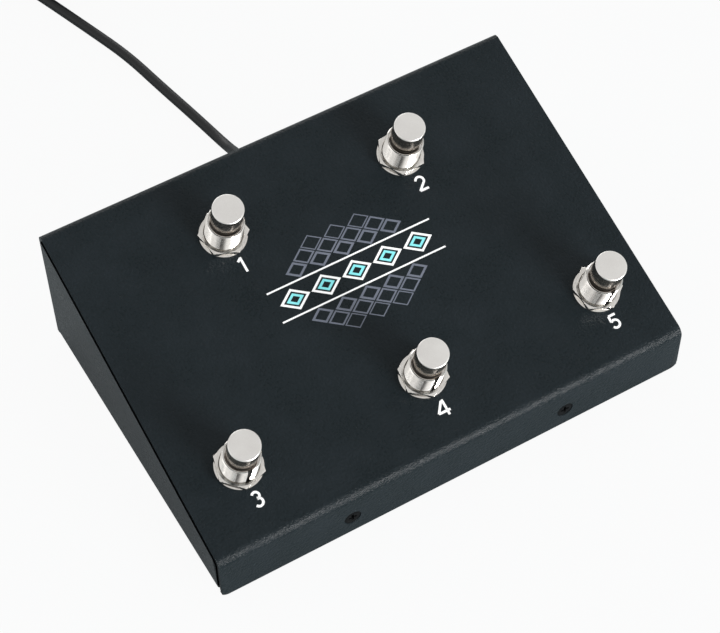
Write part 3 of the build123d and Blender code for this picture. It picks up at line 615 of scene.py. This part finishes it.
cell = np.array([CELL_WIDTH, CELL_HEIGHT])
slate = []
for row in (-4, -3, -2, 2, 3, 4):
    count = 7 - abs(row)
    for column in range(count):
        centre = ((column - (count - 1) / 2) * CELL_WIDTH,
                  row * CELL_HEIGHT / 2 + math.copysign(ROW_SHIFT, row))
        slate.append(outline_plate(cell * SLATE_OUTER, cell * (SLATE_INNER + SLATE_STEP * abs(row)), centre))
printed_slate = make_piece("printed_slate", slate, "enclosure")
printed_white = make_piece("printed_white", middle_row(WHITE_SIZES), "enclosure")
printed_cyan = make_piece("printed_cyan", middle_row(CYAN_SIZES), "enclosure")
printed_rules = make_piece("printed_rules", [rule(RULE_PLACE), rule(-RULE_PLACE)], "enclosure", ring=False)

# %% [markdown]
# ## Tools for materials
# Colours are written as the hex values that one reads off a screen. Blender shades in linear
# light, so one function turns them. Another adds a node with its settings and links, so a
# material reads as a list of nodes. Patterns use Object coordinates, whose unit is a metre here:
# a grain of 0.4 mm needs a scale of 1 / 0.0004. A pixel of the picture is about 0.3 mm wide on the
# object. Many real grains are finer than that, so they are drawn coarse enough to show.

# %% Colour and node tools
def linear(hex_colour):
    """sRGB hex to linear RGBA: c / 12.92 below 0.04045, else ((c + 0.055) / 1.055) ** 2.4."""
    channels = [int(hex_colour[start:start + 2], 16) / 255 for start in (1, 3, 5)]
    return (*(c / 12.92 if c <= 0.04045 else ((c + 0.055) / 1.055) ** 2.4 for c in channels), 1.0)


def grey(value):
    """Linear RGBA with the same value in red, green and blue."""
    return (value, value, value, 1.0)


def add(tree, kind, inputs=None, links=None, stops=None, **settings):
    """Adds a node of a kind. settings are its own properties, inputs the values of its sockets,
    links the outputs that feed them, and stops the (place, colour) pairs of a ramp."""
    made = tree.nodes.new(kind)
    for key, value in settings.items():
        setattr(made, key, value)
    for socket, value in (inputs or {}).items():
        made.inputs[socket].default_value = value
    for socket, source in (links or {}).items():
        tree.links.new(source, made.inputs[socket])
    for _ in range(len(stops or []) - 2):
        made.color_ramp.elements.new(1.0)
    for element, (place, colour) in zip(made.color_ramp.elements if stops else [], stops or []):
        element.position = place
        element.color = colour
    return made


def grained(name, dark, light, rough, grain, bump, metallic=0.0, ior=1.5, mottle=8.0):
    """A surface with a fine grain in its relief and gloss and a slow drift in its colour.
    grain and mottle are sizes in mm, bump the depth of the grain in mm, rough a low and a high."""
    material = bpy.data.materials.new(name)
    material.use_nodes = True
    tree = material.node_tree
    tree.nodes.clear()
    place = add(tree, "ShaderNodeTexCoord").outputs["Object"]
    fine = add(tree, "ShaderNodeTexNoise", {"Scale": 1 / (grain * MM), "Detail": 3.0, "Roughness": 0.6},
               {"Vector": place}).outputs["Fac"]
    slow = add(tree, "ShaderNodeTexNoise", {"Scale": 1 / (mottle * MM), "Detail": 4.0, "Roughness": 0.55},
               {"Vector": place}).outputs["Fac"]
    both = add(tree, "ShaderNodeMath", links={0: fine, 1: slow}, operation="ADD").outputs[0]
    half = add(tree, "ShaderNodeMath", {1: 0.5}, {0: both}, operation="MULTIPLY").outputs[0]
    colour = add(tree, "ShaderNodeValToRGB", links={"Fac": half},
                 stops=[(0.35, linear(dark)), (0.65, linear(light))]).outputs["Color"]
    gloss = add(tree, "ShaderNodeMapRange", {"From Min": 0.3, "From Max": 0.7, "To Min": rough[0],
                                            "To Max": rough[1]}, {"Value": half}).outputs[0]
    relief_normal = add(tree, "ShaderNodeBump", {"Distance": bump * MM}, {"Height": fine}).outputs[0]
    shader = add(tree, "ShaderNodeBsdfPrincipled", {"Metallic": metallic, "IOR": ior},
                 {"Base Color": colour, "Roughness": gloss, "Normal": relief_normal})
    add(tree, "ShaderNodeOutputMaterial", links={"Surface": shader.outputs[0]})
    return material


def give(piece, *materials):
    """Puts materials on a piece in place of what it has."""
    piece.data.materials.clear()
    for material in materials:
        piece.data.materials.append(material)


# %% [markdown]
# ## Powder coat
# The box is steel under a black polyester powder coat with a fine texture. The powder melts into
# small round grains of about half a millimetre, drawn a little coarser so that they show. They
# break up every reflection: the panel looks matt from above and greyer towards grazing angles,
# and sparkles faintly on its bends. The cut edges of the walls lie in the seam under the cover,
# and the cover's shade is painted on them as a nearly black coat.

# %% Powder coat
powder_coat = grained("powder_coat_black_fine_texture", "#11191c", "#1a2125", (0.25, 0.34), 0.8, 0.34,
                      ior=1.24, mottle=14.0)
# Painted shade: a nearly black coat for the walls' cut edges, standing for the cover's shade in the seam.
seam_painted_shade = grained("powder_coat_painted_seam_shade", "#050607", "#0a0b0c", (0.8, 0.95), 0.8, 0.1, ior=1.05)

# %% [markdown]
# ## Nickel plate and caps
# Nuts, washers and bushings are brass with bright nickel: a warm silver that mirrors the studio,
# a little blurred by fine turning marks. A keyway is milled into the barrel. Its dark, dull colour
# is painted shade, so it reads as a dark slot. A cap's top and bevel are satin and its side is
# turned, with the brass just showing at its foot. The plunger under it is brass, and its dark
# brown colour is painted shade. Screws are black oxide, springs are zinc plated and contacts are
# tinned. Marks of turning are much finer than a pixel, so they are drawn 0.3 to 1.5 mm wide.

# %% Metals
nickel = grained("nickel_plate_bright", "#dcd8d2", "#ebe8e3", (0.12, 0.24), 0.9, 0.002, metallic=1.0)
cap_side = grained("cap_nickel_turned", "#d2c6ba", "#e0d6cb", (0.2, 0.3), 1.5, 0.001, metallic=1.0)
cap_satin = grained("cap_nickel_satin", "#e6e3df", "#f0eeea", (0.34, 0.42), 0.25, 0.002, metallic=1.0)
# Painted shade: the keyway's dark, dull colour stands for the shade in the slot.
keyway_painted_shade = grained("keyway_milled_with_painted_shade", "#1b1917", "#262320", (0.5, 0.65), 0.6, 0.002, metallic=1.0)
bare_brass = grained("cap_brass_edge", "#6b5138", "#8b6b49", (0.2, 0.3), 0.6, 0.001, metallic=1.0)
# Painted shade: the plunger's dark grey-brown stands for the shade it lies in under the cap.
plunger_painted_shade = grained("plunger_brass_with_painted_shade", "#4b453f", "#5f5850", (0.3, 0.42), 0.6, 0.002, metallic=1.0)
black_oxide = grained("black_oxide_screw", "#060708", "#0e0f10", (0.3, 0.42), 0.4, 0.004, ior=1.16)
zinc = grained("zinc_plated_steel", "#9fa3a6", "#b9bdbf", (0.25, 0.4), 0.8, 0.003, metallic=1.0)
brass = grained("tinned_brass_contact", "#a98a4e", "#c7a868", (0.25, 0.38), 0.6, 0.002, metallic=1.0)

# %% [markdown]
# ## Plastics, rubber and inks
# Cable jackets are soft PVC, slightly glossy and nearly black. Mouldings have the fine eroded
# texture of their tool, drawn coarser than it is. Rubber feet are matt, a solder mask is a smooth
# green lacquer and nylon is a pale, waxy plastic. Screen ink is a matt epoxy film, smoother than
# the powder coat under it.

# %% Plastics
jacket_pvc = grained("pvc_cable_jacket", "#0e1011", "#17191b", (0.38, 0.5), 0.7, 0.008, ior=1.4)
moulding = grained("tpe_moulding_black", "#17181a", "#202224", (0.5, 0.62), 0.35, 0.01)
rubber = grained("rubber_foot", "#141415", "#1e1e1f", (0.7, 0.85), 0.6, 0.015)
housing_plastic = grained("pbt_housing_black", "#131416", "#1b1c1e", (0.45, 0.6), 0.4, 0.006)
laminate = grained("solder_mask_green", "#0f4d2a", "#17653a", (0.22, 0.35), 1.2, 0.004)
epoxy = grained("moulded_epoxy_chip", "#161718", "#212223", (0.5, 0.62), 0.2, 0.004)
nylon_white = grained("natural_nylon_header", "#d6d0c0", "#e6e1d3", (0.4, 0.5), 0.6, 0.004)
insulation = grained("pvc_wire_insulation", "#7c1e1c", "#9a2a26", (0.35, 0.45), 1.0, 0.003)
tongue = grained("plug_tongue_plastic", "#dcdcdc", "#efefef", (0.3, 0.4), 0.8, 0.002)
ink_white = grained("screen_ink_white", "#eceded", "#f8f8f8", (0.42, 0.55), 0.4, 0.004)
ink_slate = grained("screen_ink_slate", "#595f6c", "#686e7b", (0.42, 0.55), 0.4, 0.004)
ink_cyan = grained("screen_ink_cyan", "#74d3d8", "#8be0e4", (0.42, 0.55), 0.4, 0.004)

# %% Give every piece and CAD node its material
FINISHES = {
    "powder_coat": powder_coat, "rubber": rubber, "black_screw": black_oxide, "zinc_steel": zinc,
    "board_laminate": laminate, "chip_epoxy": epoxy, "header_nylon": nylon_white,
    "wire_insulation": insulation, "cable_jacket": jacket_pvc, "relief_moulding": moulding,
    "nickel_plate": nickel, "cap_metal": cap_side, "plunger_brass": plunger_painted_shade,
    "switch_body": housing_plastic, "contact_brass": brass, "plug_tongue": tongue,
}
for entry in frame["record"]["subparts"]:
    give(frame["nodes"][entry["node"]], FINISHES[entry["material_slot"]])
give(lead, jacket_pvc)
give(boot, moulding)
give(cover, powder_coat)
# The walls' cut-edge faces get the painted shade of the seam.
give(chassis, powder_coat, seam_painted_shade)
chassis.data.polygons.foreach_set("material_index", painted_shade_edges.astype(np.int32))
for piece in (nuts, washers):
    give(piece, nickel)
for piece in screws:
    give(piece, black_oxide)
for piece in springs:
    give(piece, zinc)
for piece in (printed_numbers, printed_white, printed_rules):
    give(piece, ink_white)
give(printed_slate, ink_slate)
give(printed_cyan, ink_cyan)

# %% Pieces with several finishes
BRASS_EDGE = 0.2


def from_panel(piece, across, up):
    """Centres of a piece's faces in mm, as (across, up the slope, out) from the foot of its
    switch. It undoes on_panel: subtract the panel's centre, then multiply by each direction."""
    return (vectors(piece.data.polygons, "center") / MM - PANEL_CENTRE) @ PANEL.T - (across, up, 0)


for piece, (across, up, _, keyway) in zip(bushings, SWITCHES.values()):
    # The keyway's faces get the painted shade.
    give(piece, nickel, keyway_painted_shade)
    place = from_panel(piece, across, up)
    from_key = (np.degrees(np.arctan2(place[:, 1], place[:, 0])) - keyway + 180) % 360 - 180
    outside = np.hypot(place[:, 0], place[:, 1]) > BORE_RADIUS + BORE_CHAMFER
    in_key = outside & (abs(from_key) < KEYWAY_HALF_DEG + KEYWAY_EDGE_DEG) & (place[:, 2] > PLATE_TOP)
    piece.data.polygons.foreach_set("material_index", in_key.astype(np.int32))
for piece, (across, up, _, _) in zip(caps, SWITCHES.values()):
    give(piece, cap_side, cap_satin, bare_brass)
    height = from_panel(piece, across, up)[:, 2]
    top, foot = height > CAP_TOP - CAP_BEVEL, height < CAP_BOTTOM + BRASS_EDGE
    piece.data.polygons.foreach_set("material_index", (top + 2 * foot).astype(np.int32))
print("materials:", len(bpy.data.materials))

# %% [markdown]
# ## Floor, world and lamps
# The photograph is a cut-out product shot: a nearly white ground with a very faint shadow. A
# Light Path node lets the camera, mirrors and glass see the floor mostly as plain white, while
# some of its real shading keeps the shadow. The world is brightest near the horizon and darker
# overhead, which gives the metal its contrast and keeps the black panel black. A dark spot stands
# for the camera on its stand, which every barrel mirrors as a dark streak.

# %% Floor
FLOOR_HALF, PLAIN_SHARE, MIRRORED_SHARE = 4.0, 0.94, 0.12


def seen_rays(tree, mirrored):
    """1 for camera rays, mirrored for glossy and transmission rays, 0 for those that only light."""
    path = add(tree, "ShaderNodeLightPath").outputs
    other = add(tree, "ShaderNodeMath", links={0: path["Is Glossy Ray"], 1: path["Is Transmission Ray"]},
                operation="MAXIMUM").outputs[0]
    weaker = add(tree, "ShaderNodeMath", {1: mirrored}, {0: other}, operation="MULTIPLY").outputs[0]
    return add(tree, "ShaderNodeMath", links={0: path["Is Camera Ray"], 1: weaker},
               operation="MAXIMUM").outputs[0]


floor_mesh = bpy.data.meshes.new("floor")
corners = [(-FLOOR_HALF, -FLOOR_HALF, 0), (FLOOR_HALF, -FLOOR_HALF, 0),
           (FLOOR_HALF, FLOOR_HALF, 0), (-FLOOR_HALF, FLOOR_HALF, 0)]
floor_mesh.from_pydata(corners, [], [(0, 1, 2, 3)])
floor = bpy.data.objects.new("floor", floor_mesh)
scene.collection.objects.link(floor)
paper = bpy.data.materials.new("white_paper_ground")
paper.use_nodes = True
tree = paper.node_tree
tree.nodes.clear()
shaded = add(tree, "ShaderNodeBsdfDiffuse", {"Color": linear("#a4adb0")}).outputs[0]
plain = add(tree, "ShaderNodeEmission", {"Color": linear("#ffffff"), "Strength": 1.0}).outputs[0]
share = add(tree, "ShaderNodeMath", {1: PLAIN_SHARE}, {0: seen_rays(tree, MIRRORED_SHARE)},
            operation="MULTIPLY").outputs[0]
mixed = add(tree, "ShaderNodeMixShader", links={0: share, 1: shaded, 2: plain}).outputs[0]
add(tree, "ShaderNodeOutputMaterial", links={"Surface": mixed})
give(floor, paper)

# %% World
STAND, STAND_EDGE, STAND_CORE, STAND_SHADE = (-0.50, -0.70, 0.51), 0.93, 0.985, 0.1
world = bpy.data.worlds.new("studio")
scene.world = world
world.use_nodes = True
tree = world.node_tree
tree.nodes.clear()
direction = add(tree, "ShaderNodeTexCoord").outputs["Generated"]
height = add(tree, "ShaderNodeSeparateXYZ", links={0: direction}).outputs["Z"]
walls = add(tree, "ShaderNodeValToRGB", links={"Fac": height},
            stops=[(0.0, grey(1.0)), (0.35, grey(0.95)), (0.7, grey(0.75)), (1.0, grey(0.72))]).outputs[0]
near = add(tree, "ShaderNodeVectorMath", {1: STAND}, {0: direction},
           operation="DOT_PRODUCT").outputs["Value"]
shade = add(tree, "ShaderNodeMapRange", {"From Min": STAND_EDGE, "From Max": STAND_CORE, "To Min": 1.0,
                                        "To Max": STAND_SHADE}, {"Value": near}).outputs[0]
walls = add(tree, "ShaderNodeVectorMath", links={0: walls, 1: shade}, operation="MULTIPLY").outputs[0]
strength = add(tree, "ShaderNodeMapRange", {"To Min": 1.1, "To Max": 1.0},
               {"Value": seen_rays(tree, 1.0)}).outputs[0]
sky = add(tree, "ShaderNodeBackground", links={"Color": walls, "Strength": strength}).outputs[0]
add(tree, "ShaderNodeOutputWorld", links={"Surface": sky})

# %% Lamps
AIM = (0, 0, 0.03)


def softbox(name, place, size, radiance):
    """An area lamp of a size in metres. Its power is radiance times pi times its area."""
    lamp = bpy.data.lights.new(name, "AREA")
    lamp.shape = "RECTANGLE"
    lamp.size, lamp.size_y = size
    lamp.energy = radiance * math.pi * size[0] * size[1]
    made = bpy.data.objects.new(name, lamp)
    scene.collection.objects.link(made)
    turn = (Vector(AIM) - Vector(place)).to_track_quat("-Z", "Y").to_matrix().to_4x4()
    made.matrix_world = Matrix.Translation(place) @ turn


softbox("front_box", (0.5, -1.5, 0.24), (0.7, 0.28), 54.0)
softbox("rear_box", (0.4, 1.6, 0.5), (1.4, 0.4), 3.0)
softbox("left_box", (-1.6, 0.2, 1.0), (1.0, 0.8), 0.6)
scene.view_settings.view_transform = "Standard"
